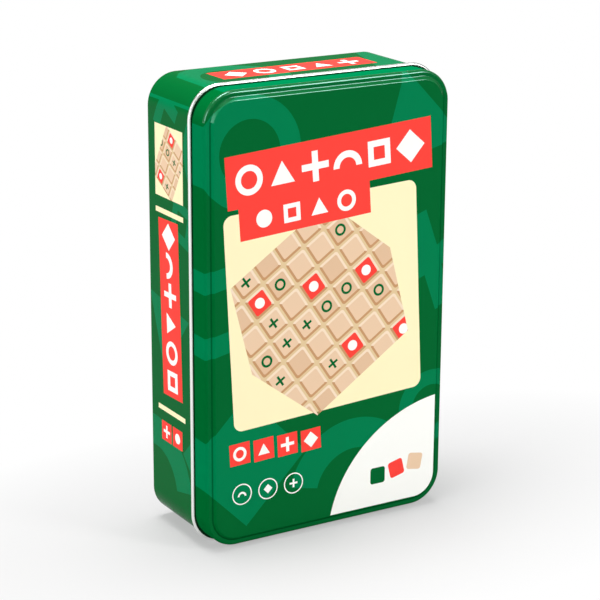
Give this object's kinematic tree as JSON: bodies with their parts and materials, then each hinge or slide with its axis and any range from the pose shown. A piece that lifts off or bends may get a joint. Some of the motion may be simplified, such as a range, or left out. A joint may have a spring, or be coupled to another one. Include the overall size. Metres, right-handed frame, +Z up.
{
  "type": "travel game case",
  "caption": "Upright rectangular tin with a hinged stepped lid and a rolled bead, holding a tray with magnetic wooden board segments and letter tiles.",
  "frame": {"origin": "centre of the box's underside, on the surface the tin stands on", "axes": "+Z up along the tin's height, -Y out of the lid's front panel, +X to the hinge side"},
  "size_m": [0.1188, 0.049, 0.195],
  "materials": {
    "printed_tinplate": "gloss printed tinplate, bare at the bead and inside",
    "bare_tinplate": "bare bright tinplate",
    "steel_wire": "drawn steel wire",
    "tray_sheet": "thermoformed sheet, satin",
    "leaflet_paper": "uncoated paper",
    "board_wood": "sanded beech",
    "grid_wood": "sanded beech",
    "magnet_plating": "nickel plated",
    "tile_wood": "sanded beech with printed capitals"
  },
  "bodies": {
    "case": {"body_wall": "printed_tinplate", "base_panel": "bare_tinplate", "hinge_pin": "steel_wire", "insert_tray": "tray_sheet", "rules_leaflet": "leaflet_paper", "board_left_plate": "board_wood", "board_middle_plate": "board_wood", "board_right_plate": "board_wood", "board_left_grid": "grid_wood", "board_middle_grid": "grid_wood", "board_right_grid": "grid_wood", "magnets_left": "magnet_plating", "magnets_middle": "magnet_plating", "magnets_right": "magnet_plating", "tiles_a": "tile_wood", "tiles_b": "tile_wood", "tiles_c": "tile_wood", "tiles_d": "tile_wood", "tiles_e": "tile_wood", "tiles_f": "tile_wood", "tiles_g": "tile_wood", "tiles_h": "tile_wood", "tiles_i": "tile_wood", "tiles_j": "tile_wood", "tiles_k": "tile_wood", "tiles_l": "tile_wood", "tiles_m": "tile_wood", "tiles_n": "tile_wood", "tiles_o": "tile_wood", "tiles_p": "tile_wood", "tiles_q": "tile_wood", "tiles_r": "tile_wood", "tiles_s": "tile_wood", "tiles_t": "tile_wood", "tiles_u": "tile_wood", "tiles_v": "tile_wood", "tiles_w": "tile_wood", "tiles_x": "tile_wood", "tiles_y": "tile_wood", "tiles_z": "tile_wood", "tiles_blank": "tile_wood"},
    "lid": {"lid_shell": "printed_tinplate"}
  },
  "joints": [
    {"name": "lid_hinge", "type": "hinge", "parent": "case", "child": "lid", "pos_m": [0.05845, -0.0126, 0.0975], "axis": [0, 0, 1], "range_deg": [0, 180]}
  ]
}
